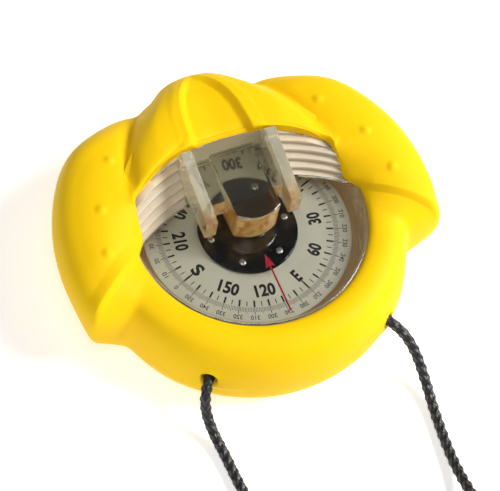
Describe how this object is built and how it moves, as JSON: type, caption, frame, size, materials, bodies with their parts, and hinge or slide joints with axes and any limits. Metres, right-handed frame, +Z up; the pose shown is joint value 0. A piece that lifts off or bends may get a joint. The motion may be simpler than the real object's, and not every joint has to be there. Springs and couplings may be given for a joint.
{
  "type": "handheld bearing compass",
  "caption": "Liquid-filled hand bearing compass in a soft yellow rubber guard with a sighting prism, a turning card and a neck lanyard.",
  "frame": {"origin": "centre of the flat underside, under the card's pivot", "axes": "+Z up out of the window, +Y towards the sighting crest, -Y towards the user, the lubber arrow and the lanyard holes"},
  "size_m": [0.0922, 0.1526, 0.0292],
  "materials": {
    "guard": "soft moulded, satin",
    "clear": "clear polished acrylic",
    "prism": "clear polished acrylic",
    "reflector": "translucent cream, ribbed",
    "bowl": "translucent amber, smooth",
    "card": "greenish cream with printed marks",
    "black_plastic": "fine moulded black",
    "arrow": "red",
    "magnet": "sintered, plain",
    "brass": "turned",
    "steel": "turned and polished",
    "jewel": "polished synthetic jewel",
    "black_rubber": "moulded, matt",
    "cord": "braided cord"
  },
  "bodies": {
    "case": {"rubber_guard": "guard", "capsule_bowl": "bowl", "bowl_seal": "black_rubber", "capsule_window": "clear", "ribbed_reflector": "reflector", "prism": "prism", "lubber_arrow": "arrow", "pivot_post": "brass", "pivot_pin": "steel", "expansion_diaphragm": "black_rubber", "diaphragm_ring": "black_plastic", "diaphragm_screws": "steel", "filler_plug": "brass", "filler_washer": "black_rubber", "base_cover": "black_plastic", "base_cover_screws": "steel", "lanyard_left": "cord", "lanyard_right": "cord", "stopper_knot_left": "cord", "stopper_knot_right": "cord", "lanyard_coil": "cord", "coil_tie": "black_plastic"},
    "jewel": {"jewel_bearing": "jewel"},
    "holder": {"jewel_holder": "brass"},
    "card": {"compass_card": "card", "card_float": "black_plastic", "float_rivets": "steel", "magnet_left": "magnet", "magnet_right": "magnet", "magnet_carrier": "brass"}
  },
  "joints": [
    {"name": "card_pitch", "type": "hinge", "parent": "case", "child": "jewel", "pos_m": [0, 0, 0.0142], "axis": [1, 0, 0], "range_deg": [-6, 6]},
    {"name": "card_roll", "type": "hinge", "parent": "jewel", "child": "holder", "pos_m": [0, 0, 0.0142], "axis": [0, 1, 0], "range_deg": [-6, 6]},
    {"name": "card_spin", "type": "hinge", "parent": "holder", "child": "card", "pos_m": [0, 0, 0.0142], "axis": [0, 0, 1], "continuous": true}
  ]
}
